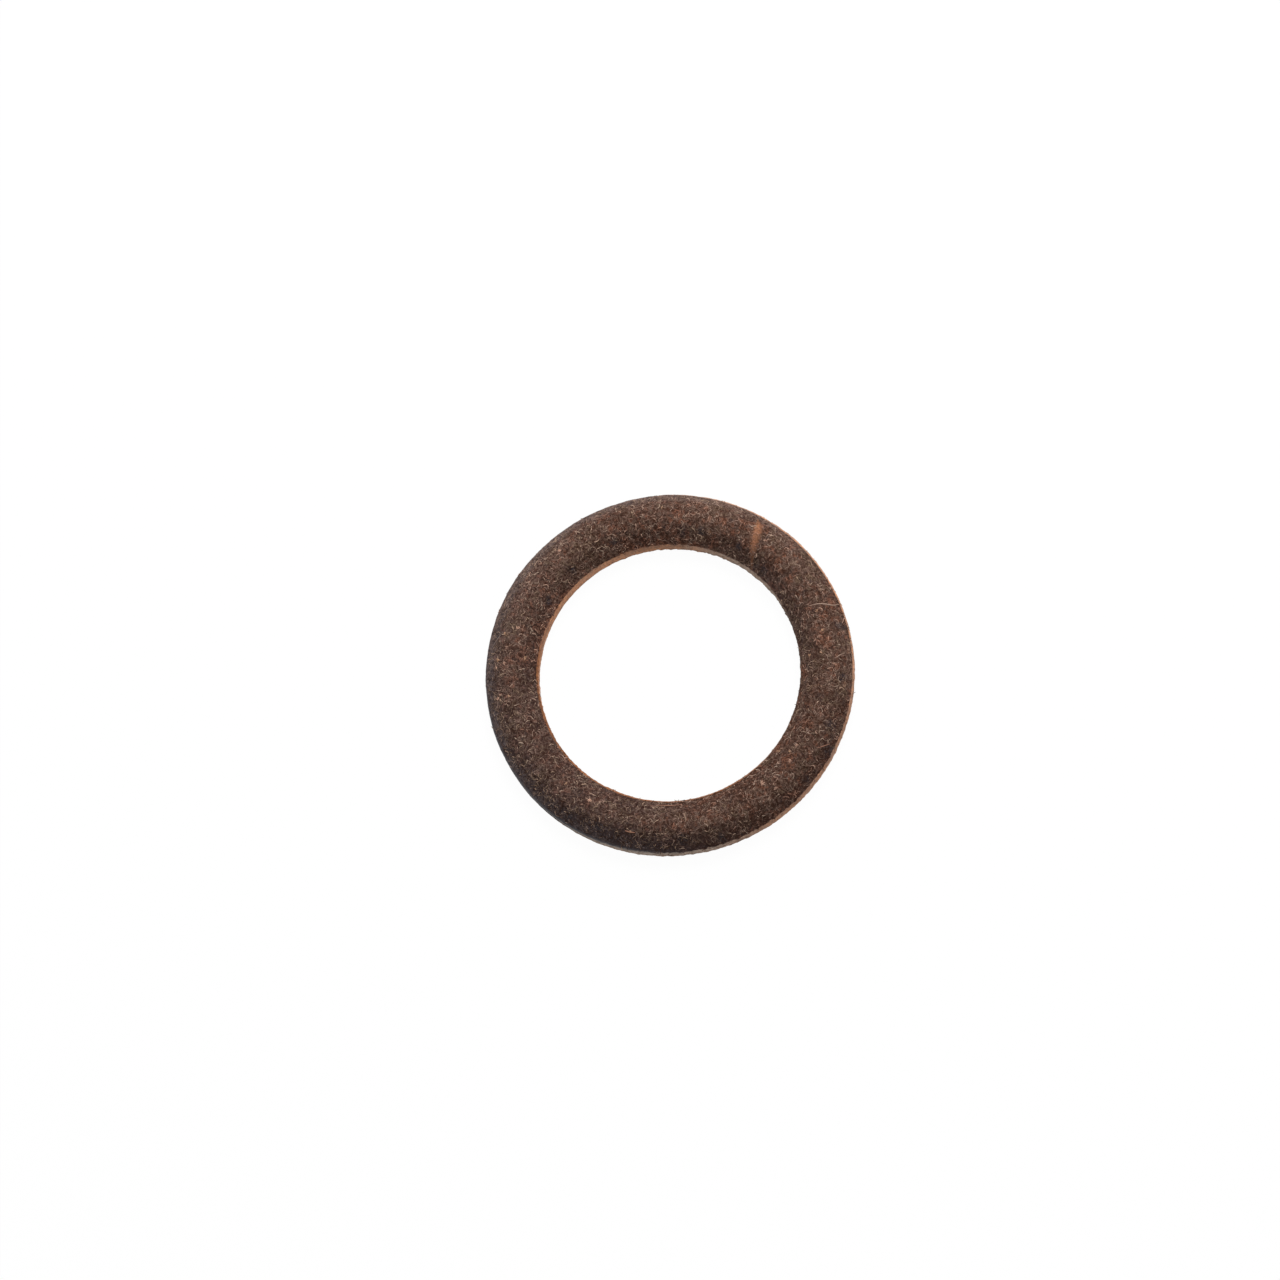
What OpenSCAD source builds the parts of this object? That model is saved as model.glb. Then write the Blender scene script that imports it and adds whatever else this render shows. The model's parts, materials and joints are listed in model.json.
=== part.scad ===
// Leather V-packing ring for a rod seal: one ring of leather, moulded to a
// chevron section and trimmed square at both lips. The crown faces up (+Z)
// and the V opens downwards. The origin is on the ring's axis, level with
// the two trimmed lips that it rests on.

/* [Ring] */
// Diameter of the bore, across the cut edge of the inner lip
bore_d = 23.8; // [12:0.1:60]
// Width of the section, from the inner lip's cut edge to the outer lip's
section_w = 4.8; // [3.8:0.1:8]

/* [Section] */
// Thickness of the leather, the same over the crown and down both arms
leather_t = 1.5; // [1:0.05:1.7]
// Slope of both arms, in degrees from flat
arm_slope = 40; // [30:1:48]
// Radius of the valley, under the crown
valley_r = 0.4; // [0.2:0.05:0.8]
// Width of the flat that is trimmed under each lip
lip_land = 0.5; // [0.2:0.05:0.9]

/* [Hidden] */
// One step to a degree, so that the bend ends on the arms' own slope
$fn = 360;
leather_colour = [0.30, 0.22, 0.18];

half_w = section_w / 2;
// The crown circle runs half way between the two cut edges
crown_circle_r = bore_d / 2 + half_w;
// The leather bends round the valley, so its outer face has the larger radius
crown_r = valley_r + leather_t;
// Height of the bend's centre, which leaves a flat of lip_land under each lip
bend_z = (half_w - lip_land) * tan(arm_slope) - valley_r / cos(arm_slope);
// Further than any part of the section, for what is trimmed off
reach = 2 * (section_w + crown_r);

// The right half of the leather before it is trimmed: half of the bend over
// the crown and one straight arm. It is drawn with the arm lying along X, its
// root at X = 0, and then turned down to the arm's slope
module half_fold() {
    difference() {
        rotate(-arm_slope) {
            difference() {
                circle(r = crown_r);
                circle(r = valley_r);
                translate([0, -reach])
                    square([reach, 2 * reach]);
            }
            translate([0, valley_r])
                square([reach, leather_t]);
        }
        // The other half of the bend
        translate([-reach, -reach])
            square([reach, 2 * reach]);
    }
}

// The right half, cut upright at its lip and level under it
module half_section() {
    intersection() {
        translate([0, bend_z])
            half_fold();
        square([half_w, reach]);
    }
}

// The chevron section, centred on the crown
module chevron_section() {
    half_section();
    mirror([1, 0])
        half_section();
}

module packing_ring() {
    color(leather_colour)
        rotate_extrude()
            translate([crown_circle_r, 0])
                chevron_section();
}

packing_ring();
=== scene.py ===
"""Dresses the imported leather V-packing ring: napped leather, cut edges, loose fibres and a studio stage."""

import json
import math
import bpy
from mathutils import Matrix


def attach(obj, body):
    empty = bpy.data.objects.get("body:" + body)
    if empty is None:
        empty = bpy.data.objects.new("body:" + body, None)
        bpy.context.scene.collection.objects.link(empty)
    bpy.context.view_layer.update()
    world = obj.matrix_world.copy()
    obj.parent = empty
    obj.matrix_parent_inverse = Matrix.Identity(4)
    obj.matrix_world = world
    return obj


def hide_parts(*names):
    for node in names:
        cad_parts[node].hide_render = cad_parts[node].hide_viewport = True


bl_info = {
    "name": "Leather V-Packing Ring",
    "version": (1, 0, 0),
    "blender": (4, 5, 0),
    "location": "3D View > Sidebar > Packing Ring",
    "description": "Builds a moulded leather V-packing ring with its nap, its cut edges and a studio stage",
    "category": "Object",
}

from functools import cached_property

import bpy
from bpy.props import FloatProperty, FloatVectorProperty, IntProperty, PointerProperty
from mathutils import Matrix, Vector

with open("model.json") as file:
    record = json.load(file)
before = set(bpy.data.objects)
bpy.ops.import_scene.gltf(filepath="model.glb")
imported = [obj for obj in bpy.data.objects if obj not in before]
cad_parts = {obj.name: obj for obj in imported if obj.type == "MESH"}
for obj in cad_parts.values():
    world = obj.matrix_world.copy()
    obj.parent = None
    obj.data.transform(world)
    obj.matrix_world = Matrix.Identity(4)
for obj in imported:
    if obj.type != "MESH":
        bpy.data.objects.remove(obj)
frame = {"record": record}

NODE = "packing_ring"
RING = "leather_ring"
BODY = "root"
MM = 0.001

MOUNTS = {mount["name"]: mount for mount in frame["record"]["mounts"]}
BORE_R = MOUNTS["bore"]["dims"]["r_mm"] * MM
OUTSIDE_R = MOUNTS["outside"]["dims"]["r_mm"] * MM
CROWN_R, _, CROWN_Z = MOUNTS["crown"]["pos_m"]
LIP_EDGE_H = MOUNTS["outside"]["dims"]["length_mm"] * MM
LEATHER_T = CROWN_Z - MOUNTS["v_groove"]["pos_m"][2]
ARM_SLOPE = math.radians(40)


# Sizes and colours


def number(name, description, default, **more):
    return FloatProperty(name=name, description=description, default=default, **more)


def length(name, description, mm):
    """A length whose default is given in millimetres"""
    return number(name, description, mm * MM, unit="LENGTH", precision=5)


def angle(name, description, degrees):
    return number(name, description, math.radians(degrees), subtype="ANGLE")


def count(name, description, default):
    return IntProperty(name=name, description=description, default=default)


def colour(name, description, default):
    return FloatVectorProperty(
        name=name, description=description, default=default, subtype="COLOR", min=0.0, max=1.0
    )


class RingSizes(bpy.types.PropertyGroup):
    """The moulded section, where the mounts don't give it"""

    valley_radius: length("Valley Radius", "Radius of the bend under the crown", 0.4)
    corner_radius: length("Corner Radius", "Rounding of the cut corners", 0.1)
    foot_radius: length("Foot Radius", "Rounding where the cut edges meet the floor", 0.28)
    waviness: length("Waviness", "How far the leather strays from its mould", 0.05)
    grain: length("Grain", "Height of the tufts of the nap", 0.05)
    steps_around: count("Steps Around", "Faces round the ring", 876)
    steps_across: count("Steps Across", "Faces round the section", 112)


class NapSizes(bpy.types.PropertyGroup):
    """The loose fibres that stand on the leather"""

    length: length("Fibre Length", "Length of a fibre of mean size", 0.42)
    width: length("Fibre Width", "Width of a fibre of mean size at its middle", 0.098)
    face_density: number("Face Density", "Fibres on a square millimetre of the face", 27.0)
    edge_density: number("Edge Density", "Fibres on a square millimetre of the cut edges", 5.0)
    long_length: length("Long Length", "Length of a long, curled fibre", 0.85)
    long_density: number("Long Density", "Long fibres on a square millimetre of the face", 1.3)
    tuft_length: length("Tuft Length", "Length of a tuft's fibres", 0.2)
    tuft_density: number("Tuft Density", "Fibres on a square millimetre of a tuft", 130.0)


class LeatherColours(bpy.types.PropertyGroup):
    """Colours of the leather and its fibres"""

    dark: colour("Dark", "Oiled leather between the fibres", (0.0365, 0.0141, 0.0077))
    brown: colour("Brown", "Most of the nap", (0.228, 0.1445, 0.113))
    russet: colour("Russet", "The redder nap", (0.318, 0.1405, 0.089))
    olive: colour("Olive", "The greener nap", (0.217, 0.1455, 0.099))
    # Slate is laid where grey sheen is painted on the outer flank, and on the dark patches, the blots and the
    # dull flank
    slate: colour("Slate", "Nap that handling has greyed", (0.195, 0.152, 0.146))
    # Far sheen is a painted sheen: lighter, greyer nap on the outer flank of the far side
    dusty: colour("Dusty", "Greyed nap on the far side", (0.262, 0.168, 0.129))
    pale: colour("Pale", "The lighter fibres", (0.45, 0.335, 0.26))
    rosy: colour("Rosy", "The lighter fibres of the redder nap", (0.50, 0.30, 0.22))
    golden: colour("Golden", "Small tufts of lighter nap", (0.43, 0.250, 0.155))
    raw: colour("Raw", "Raw leather on the cut edges", (0.74, 0.35, 0.180))
    soiled: colour("Soiled", "Cut edges that handling has greyed", (0.41, 0.30, 0.235))
    scuffed: colour("Scuffed", "Leather bared by the scuff", (0.32, 0.140, 0.070))
    rusty: colour("Rusty", "The near corner of the bore", (0.30, 0.118, 0.050))
    ashen: colour("Ashen", "The palest part of the outer cut edge", (0.56, 0.47, 0.40))
    inky: colour("Inky", "Spots where the oil is thickest", (0.024, 0.0175, 0.0180))
    # A dark blue-grey: the colour of the blots, painted shade at the foot of the bore, painted grey-blue
    # reflection on the left of the outer lip, and the gaps between fibres where grey sheen is painted
    polish: colour("Polish", "The rubbed corner of the outer lip", (0.040, 0.040, 0.048))
    under: colour("Underside", "The moulded face under the ring", (0.085, 0.050, 0.037))


class StageSettings(bpy.types.PropertyGroup):
    """Light, floor and camera"""

    key_power: number("Key Light", "Power of the large soft lamp", 2.9, subtype="POWER")
    ambient: number("Ambient", "Strength of the white surround", 0.34)
    elevation: angle("Camera Elevation", "How far above the floor the camera looks from", 74.0)
    azimuth: angle("Camera Azimuth", "Turn of the camera about the ring, from the front", 21.5)
    distance: length("Camera Distance", "From the lens to the ring", 450)
    view_width: length("View Width", "Width of the picture where the ring lies", 115.5)
    aim: FloatVectorProperty(
        name="Aim",
        description="Where the middle of the picture lies from the middle of the ring, right and up",
        default=(-2.62 * MM, 2.91 * MM),
        size=2,
        unit="LENGTH",
        precision=5,
    )


# Node trees


def labels(values):
    """The same values by the labels of their sockets: on_edges becomes On Edges"""
    return {name.replace("_", " ").title(): value for name, value in values.items()}


class Signal:
    """A node's output, which takes part in plain arithmetic"""

    def __init__(self, tree, socket):
        self.tree = tree
        self.socket = socket

    def __add__(self, other):
        return self.tree.maths("ADD", self, other)

    __radd__ = __add__

    def __sub__(self, other):
        return self.tree.maths("SUBTRACT", self, other)

    def __rsub__(self, other):
        return self.tree.maths("SUBTRACT", other, self)

    def __mul__(self, other):
        return self.tree.maths("MULTIPLY", self, other)

    __rmul__ = __mul__

    def __truediv__(self, other):
        return self.tree.maths("DIVIDE", self, other)

    def __pow__(self, other):
        return self.tree.maths("POWER", self, other)

    def __abs__(self):
        return self.tree.maths("ABSOLUTE", self)

    def ramp(self, low, high, kind="LINEAR"):
        """0 at low and 1 at high, straight between and level beyond"""
        settings = {"interpolation_type": kind}
        return self.tree.made("ShaderNodeMapRange", settings, value=self, from_min=low, from_max=high)

    def step(self, low, high):
        """0 below low and 1 above high, with a smooth rise between"""
        return self.ramp(low, high, "SMOOTHSTEP")

    def fall(self, low, high):
        """1 below low and 0 above high, with a smooth fall between"""
        return 1 - self.step(low, high)

    def clamped(self):
        return self.tree.maths("ADD", self, 0.0, clamp=True)


class Node:
    """A node that was made, for its outputs"""

    def __init__(self, tree, raw):
        self.tree = tree
        self.raw = raw

    def out(self, key=0):
        return Signal(self.tree, open_socket(self.raw.outputs, key))


def open_socket(sockets, key):
    """The socket in use that has this number or name"""
    in_use = [socket for socket in sockets if socket.enabled]
    if isinstance(key, int):
        return in_use[key]
    return next(socket for socket in in_use if socket.name == key)


class Tree:
    """Adds nodes to a shader's or a shape's tree"""

    def __init__(self, raw):
        self.raw = raw

    def node(self, kind, settings=None, inputs=None):
        """A node of this kind. Its settings are set first, then the values or links of its sockets"""
        made = self.raw.nodes.new(kind)
        for name, value in (settings or {}).items():
            if name == "choices":
                while len(made.index_switch_items) < value:
                    made.index_switch_items.new()
            else:
                setattr(made, name, value)
        for key, value in (inputs or {}).items():
            self.feed(open_socket(made.inputs, key), value)
        return Node(self, made)

    def made(self, kind, settings=None, **inputs):
        """The first output of a node. Its inputs are named with _ for a space"""
        return self.node(kind, settings, labels(inputs)).out()

    def feed(self, socket, value):
        if isinstance(value, Signal):
            self.raw.links.new(value.socket, socket)
        elif socket.type == "RGBA":
            socket.default_value = (*value, 1.0)
        else:
            socket.default_value = value

    def maths(self, operation, *values, clamp=False):
        settings = {"operation": operation, "use_clamp": clamp}
        return self.node("ShaderNodeMath", settings, dict(enumerate(values))).out()

    def vector_maths(self, operation, *values):
        settings = {"operation": operation}
        return self.node("ShaderNodeVectorMath", settings, dict(enumerate(values))).out()

    def vector(self, x=0.0, y=0.0, z=0.0):
        return self.made("ShaderNodeCombineXYZ", x=x, y=y, z=z)

    def parts(self, vector):
        split = self.node("ShaderNodeSeparateXYZ", None, {0: vector})
        return split.out("X"), split.out("Y"), split.out("Z")

    def mix(self, share, first, second):
        """The first colour where share is 0 and the second where it is 1"""
        return self.made("ShaderNodeMix", {"data_type": "RGBA"}, factor=share, a=first, b=second)


# Types of the values that a shape is made from, each named as its socket is
KINDS = (float, int, bpy.types.Object, bpy.types.Material)


def shape_tree(name, values):
    """A new tree for a shape, with an input for each of these values. Gives the tree and its inputs"""
    group = bpy.data.node_groups.new(name, "GeometryNodeTree")
    group.interface.new_socket("Geometry", in_out="OUTPUT", socket_type="NodeSocketGeometry")
    for label, value in values.items():
        kind = next(kind for kind in KINDS if isinstance(value, kind)).__name__.title()
        group.interface.new_socket(label, in_out="INPUT", socket_type="NodeSocket" + kind)
    tree = Tree(group)
    entry = tree.node("NodeGroupInput")
    return tree, {label: entry.out(label) for label in values}


def close_tree(tree, geometry, material):
    """Ends a tree in real, smooth faces of one material"""
    real = tree.made("GeometryNodeRealizeInstances", geometry=geometry)
    smooth = tree.made("GeometryNodeSetShadeSmooth", geometry=real)
    dressed = tree.made("GeometryNodeSetMaterial", geometry=smooth, material=material)
    tree.node("NodeGroupOutput", None, {"Geometry": dressed})


def grown(name, tree, values):
    """A plain mesh object from what a tree makes with these values"""
    holder = bpy.data.objects.new(name + "_holder", bpy.data.meshes.new(name + "_holder"))
    bpy.context.scene.collection.objects.link(holder)
    modifier = holder.modifiers.new("Shape", "NODES")
    modifier.node_group = tree.raw
    for item in tree.raw.interface.items_tree:
        if item.in_out == "INPUT":
            modifier[item.identifier] = values[item.name]
    shaped = holder.evaluated_get(bpy.context.evaluated_depsgraph_get())
    mesh = bpy.data.meshes.new_from_object(shaped)
    bpy.data.objects.remove(holder)
    if not mesh.polygons:
        raise RuntimeError(name + " has no faces")
    mesh.name = name
    return added(name, mesh)


def added(name, mesh):
    piece = bpy.data.objects.new(name, mesh)
    bpy.context.scene.collection.objects.link(piece)
    return piece


def store(tree, geometry, name, value, data_type="FLOAT", domain="POINT"):
    settings = {"data_type": data_type, "domain": domain}
    inputs = {"geometry": geometry, "name": name, "value": value}
    return tree.made("GeometryNodeStoreNamedAttribute", settings, **inputs)


def stored(tree, name, data_type="FLOAT"):
    return tree.made("GeometryNodeInputNamedAttribute", {"data_type": data_type}, name=name)


def moved(tree, geometry, **where):
    return tree.made("GeometryNodeSetPosition", geometry=geometry, **where)


# Where the leather's looks change

# The scuff's path over the face from its outer end, as x, y and its half width in millimetres
SCUFF = (
    (8.17, 14.05, 0.02), (8.25, 13.05, 0.39), (7.98, 12.00, 0.45),
    (7.83, 11.10, 0.36), (7.66, 10.50, 0.20), (7.53, 9.50, 0.14),
)
SCUFF_DEPTH = 0.03 * MM

# Marks where the oil is thickest: degrees round the ring, millimetres from its axis, then their radius
BLOTS = (
    (84.0, 12.95, 0.50), (76.4, 13.14, 0.45), (59.9, 13.00, 0.45), (46.6, 12.60, 0.40),
    (111.9, 13.10, 0.40), (132.1, 12.90, 0.40), (148.3, 12.85, 0.35), (166.1, 16.05, 0.50),
    (13.8, 16.10, 0.50), (356.0, 15.63, 0.50), (359.8, 12.56, 0.35), (339.5, 15.60, 0.60),
    (331.8, 16.25, 0.50), (320.3, 16.15, 0.40), (287.1, 16.20, 0.45), (274.5, 15.60, 0.50),
    (246.1, 15.60, 0.45), (236.1, 16.00, 0.40),
)


class Place:
    """A place on the leather, with its zones and its textures, for a shader's or a shape's tree"""

    def __init__(self, tree, position):
        self.tree = tree
        self.position = position
        self.x, self.y, self.height = tree.parts(position)
        self.radius = (self.x * self.x + self.y * self.y) ** 0.5

    def noise_node(self, size, seed, flatter=None, **more):
        """Noise with features about size millimetres across, and flatter than that by a factor"""
        position = self.position
        if flatter:
            position = self.tree.vector_maths("MULTIPLY", position, (1.0, 1.0, flatter))
        inputs = labels({"vector": position, "w": seed, "scale": 1 / (size * MM), **more})
        return self.tree.node("ShaderNodeTexNoise", {"noise_dimensions": "4D"}, inputs)

    def noise(self, size, seed, **more):
        """Smooth noise about 0, mostly within 1 either way"""
        return (self.noise_node(size, seed, **more).out(0) - 0.5) * 4.0

    def facing(self, degrees, low, high):
        """1 where the ring faces this way from its axis, with a smooth rise between two cosines"""
        turn = math.radians(degrees)
        return ((self.x * math.cos(turn) + self.y * math.sin(turn)) / self.radius).step(low, high)

    @cached_property
    def off_crown(self):
        """How far the place is from the top of the crown, to either side"""
        return abs(self.radius - CROWN_R)

    @cached_property
    def fray(self):
        """How far a boundary strays, in metres"""
        return self.noise(0.4, 14) * (0.04 * MM)

    @cached_property
    def bore_edge(self):
        """The bore's cut edge, which shows over its corner on the near side"""
        rim = self.radius + self.fray - self.facing(235, 0.0, 0.5) * (0.08 * MM)
        return rim.fall(BORE_R + 0.02 * MM, BORE_R + 0.11 * MM)

    @cached_property
    def outer_edge(self):
        """The outer cut edge, which shows over its corner on the right"""
        wide = self.facing(10, 0.12, 0.9) * 0.7 + self.facing(50, 0.5, 1.0) * 0.45
        start = OUTSIDE_R - 0.05 * MM - wide * (0.1 * MM)
        strayed = self.radius + self.fray * (self.facing(290, 0.3, 0.9) * 1.2 + 0.5)
        return ((strayed - start) / (0.06 * MM)).step(0.0, 1.0)

    @cached_property
    def cut_edge(self):
        return (self.bore_edge + self.outer_edge).clamped()

    @cached_property
    def low_on_walls(self):
        """1 low on the cut edges and 0 at their upper corners"""
        return self.height.fall(LIP_EDGE_H - 0.5 * MM, LIP_EDGE_H - 0.15 * MM)

    @cached_property
    def bore_wall(self):
        """The bore's cut edge down to the floor, where the fray leaves only faint spots"""
        wall = self.radius.fall(BORE_R + 0.15 * MM, BORE_R + 0.3 * MM) * self.low_on_walls
        return self.tree.maths("MAXIMUM", self.bore_edge, wall * 0.8)

    @cached_property
    def outer_wall(self):
        """The outer cut edge down to the floor, where the fray leaves only faint spots"""
        wall = self.radius.step(OUTSIDE_R - 0.3 * MM, OUTSIDE_R - 0.15 * MM) * self.low_on_walls
        return self.tree.maths("MAXIMUM", self.outer_edge, wall * 0.75)

    @cached_property
    def clear_of_lips(self):
        """0 at the corners of the lips and 1 from a little way in"""
        inner = self.radius.step(BORE_R + 0.1 * MM, BORE_R + 0.35 * MM)
        # On the near and the right side the nap reaches nearer to the corner
        reach = self.radius - self.facing(320, -0.3, 0.5) * (0.09 * MM)
        return inner * reach.fall(OUTSIDE_R - 0.4 * MM, OUTSIDE_R - 0.18 * MM)

    def on_top(self, high, low):
        """1 at the height of the upper face, and 0 under it"""
        rise = math.tan(ARM_SLOPE)
        roof = LIP_EDGE_H + (OUTSIDE_R - BORE_R) / 2 * rise - self.off_crown * rise
        return (roof - self.height).fall(high, low)

    @cached_property
    def underside(self):
        """The moulded face under the ring, between the cut edges"""
        return (1 - self.on_top(1.2 * MM, 1.7 * MM)) * (1 - self.cut_edge)

    @cached_property
    def strayed_radius(self):
        return self.radius + self.noise(1.5, 3, detail=3.0) * (0.15 * MM)

    @cached_property
    def polished_rim(self):
        """The left part of the outer lip, whose corner handling wore smooth, with a painted grey-blue
        reflection on it
        """
        corner = (self.radius + self.fray).step(OUTSIDE_R - 0.2 * MM, OUTSIDE_R - 0.05 * MM)
        high = self.height.step(LIP_EDGE_H - 0.6 * MM, LIP_EDGE_H - 0.1 * MM)
        return corner * self.facing(222, 0.5, 1.0) * high

    @cached_property
    def greyed_band(self):
        """Painted grey sheen on the outer flank, along the far and the left side"""
        band = self.strayed_radius.step(OUTSIDE_R - 1.1 * MM, OUTSIDE_R - 0.2 * MM)
        return band * self.facing(130, -0.3, 0.5) * self.on_top(0.9 * MM, 1.1 * MM)

    @cached_property
    def inner_flank(self):
        return self.radius.fall(BORE_R + 0.3 * MM, CROWN_R - 0.3 * MM)

    @cached_property
    def dull_flank(self):
        """The right part of the inner flank, which is darker and greyer"""
        return self.inner_flank * self.facing(35, 0.75, 0.98)

    @cached_property
    def blots(self):
        """Marks where the oil is thickest, from the list of them"""
        tree = self.tree
        stray = self.noise_node(0.5, 29).out("Color")
        stray = tree.vector_maths("SCALE", stray, 0.9 * MM)
        stray = tree.vector_maths("SUBTRACT", stray, (0.45 * MM, 0.45 * MM, 0.0))
        x, y, _ = tree.parts(tree.vector_maths("ADD", self.position, stray))
        inside = 0.0
        for degrees, radius, size in BLOTS:
            turn = math.radians(degrees)
            away = tree.vector(x - math.cos(turn) * radius * MM, y - math.sin(turn) * radius * MM)
            off = tree.vector_maths("LENGTH", away)
            inside = tree.maths("MAXIMUM", inside, off.fall(size * 0.2 * MM, size * 1.2 * MM))
        return inside

    @cached_property
    def oiled(self):
        """Dark patches, most of them low on the near part of the outer flank: oil stains, with painted shade
        on the flanks of the near side
        """
        outer = self.strayed_radius.step(CROWN_R + 0.5 * MM, OUTSIDE_R - 0.5 * MM)
        outer = outer * self.facing(277, 0.15, 0.95) * (1 - self.facing(305, 0.85, 1.0) * 0.25)
        # Painted shade over the near part of the inner flank
        inner = self.strayed_radius.fall(BORE_R + 0.9 * MM, CROWN_R - 0.2 * MM)
        inner = inner * self.facing(240, -0.2, 0.6) * 0.35
        crown = self.off_crown.fall(0.4 * MM, 1.5 * MM) * self.facing(228, 0.7, 0.97) * 0.24
        patches = self.noise(1.7, 19) * 0.45 + 0.75
        more = self.ink * 0.1 + self.blots * 0.6 + self.dull_flank * 0.1
        near_right = abs(self.radius - CROWN_R + 0.95 * MM).fall(0.2 * MM, 1.0 * MM) * 0.17
        more = more + near_right * self.facing(300, 0.3, 0.9)
        return ((outer + inner + crown) * patches + more).clamped()

    @cached_property
    def ink(self):
        """Small dark spots where oil gathered, over the whole face"""
        spots = self.noise(1.2, 20, detail=1.0).step(0.25, 1.1)
        return spots * (self.off_crown.step(0.0, 1.6 * MM) * 0.6 + 0.4)

    @cached_property
    def greyness(self):
        """How far the nap's brown is greyed, from 0 to 1, most of it by painted grey sheen on the outer flank
        """
        # The lip, the band and the cool part are painted grey sheen on the outer flank. The dark patches, the
        # dull flank and the blots are greyed too
        lip = self.radius.step(CROWN_R + 0.9 * MM, OUTSIDE_R - 0.1 * MM)
        lip = lip * (self.facing(190, -0.3, 0.7) * 0.2 + 0.05)
        band = self.greyed_band * (self.facing(150, -0.1, 0.8) * 0.5 + 0.3)
        oiled = self.oiled * (self.facing(200, -0.2, 0.8) * 0.55 + 0.1)
        cool = self.radius.step(CROWN_R - 0.8 * MM, OUTSIDE_R - 0.4 * MM) * 0.35 + 0.08
        cool = cool * self.facing(207, -0.2, 0.9) + self.blots * 0.35
        return (band + oiled + lip + self.dull_flank * 0.3 + cool).clamped()

    # Painted sheen, which lightens and greys the outer flank on the far side
    @cached_property
    def dusty_band(self):
        return self.greyed_band * self.facing(105, -0.1, 0.8)

    @cached_property
    def tufts(self):
        """Small lighter tufts, here and there"""
        return self.noise(0.85, 18, detail=1.0).step(0.65, 1.15)

    @cached_property
    def scuff(self):
        """A soft mark across the face where the nap is rubbed away"""
        tree = self.tree
        ragged = self.noise(0.5, 9, detail=3.0, roughness=0.65)
        flat = tree.vector(self.x, self.y)
        inside = 0.0
        path = [(x * MM, y * MM, half * MM) for x, y, half in SCUFF]
        for (x, y, width), (end_x, end_y, end_width) in zip(path, path[1:]):
            run = Vector((end_x, end_y)) - Vector((x, y))
            share = run / run.length_squared
            along = ((self.x - x) * share.x + (self.y - y) * share.y).clamped()
            foot = tree.vector(along * run.x + x, along * run.y + y)
            off = tree.vector_maths("DISTANCE", flat, foot) + ragged * (0.09 * MM)
            here = (off / (along * (end_width - width) + width)).fall(0.25, 1.45)
            inside = tree.maths("MAXIMUM", inside, here)
        fade = self.radius.step(12.4 * MM, 14.2 * MM) * 0.5 + 0.5
        return inside * fade * (ragged * 0.35 + 0.8).clamped() * self.on_top(0.9 * MM, 1.1 * MM)

    @cached_property
    def mottle(self):
        """Lighter and darker patches, from about -1 to 1"""
        broad = self.noise(5.0, 1)
        small = self.noise(1.3, 2, detail=3.0)
        light_crown = self.off_crown.fall(0.5 * MM, 1.4 * MM) * self.facing(150, 0.85, 0.98)
        light_lip = self.radius.step(CROWN_R + 0.6 * MM, CROWN_R + 1.4 * MM) * self.facing(207, 0.85, 1.0)
        return broad * 0.5 + small * 0.36 + light_crown * 0.5 + light_lip * 0.5

    @cached_property
    def warmth(self):
        """How red the nap is, from -1, greenish, to 1, russet"""
        broad = self.noise(3.2, 17)
        small = self.noise(1.1, 7)
        finer = self.noise(0.42, 28, detail=1.0)
        flank = self.inner_flank * (self.facing(120, 0.2, 0.9) * 0.2 + 0.08)
        sides = self.facing(350, 0.3, 0.95) * 0.15 + self.facing(163, 0.85, 0.98) * 0.3
        return broad * 0.6 + small * 0.75 + finer * 0.95 + flank + sides - self.dull_flank * 0.35

    @cached_property
    def ridges(self):
        """Fibres that lie flat, as thin winding ridges"""
        return 1 - abs(self.noise(0.46, 5, detail=1.0, distortion=0.5)).ramp(0.02, 0.36)

    @cached_property
    def small_ridges(self):
        return 1 - abs(self.noise(0.31, 6, detail=1.0, distortion=0.6)).ramp(0.02, 0.36)

    @cached_property
    def grain(self):
        return self.noise(0.18, 15, detail=1.0)

    @cached_property
    def pores(self):
        return self.noise(0.22, 12)

    @cached_property
    def patches(self):
        return self.noise(1.4, 16)

    @cached_property
    def streaks(self):
        """Layers of fibre, which show as level streaks on the cut edges"""
        streaks = self.noise(0.6, 11, flatter=2.5, detail=4.0, roughness=0.65)
        return streaks * (1 - self.facing(290, 0.3, 0.9) * 0.4)

    @cached_property
    def threads(self):
        return self.noise(0.35, 32, flatter=3.5, detail=3.0, roughness=0.6)


# Materials


def finish_tree(name):
    """A new material and its empty tree"""
    material = bpy.data.materials.new(name)
    material.use_nodes = True
    material.node_tree.nodes.clear()
    return material, Tree(material.node_tree)


def close_finish(tree, **inputs):
    sheen = {"Sheen Weight": 0.05, "Sheen Roughness": 0.5, "Sheen Tint": (0.6, 0.45, 0.38)}
    inputs = {**labels(inputs), "Specular IOR Level": 0.08, **sheen}
    shader = tree.node("ShaderNodeBsdfPrincipled", None, inputs)
    tree.node("ShaderNodeOutputMaterial", None, {"Surface": shader.out()})


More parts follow.
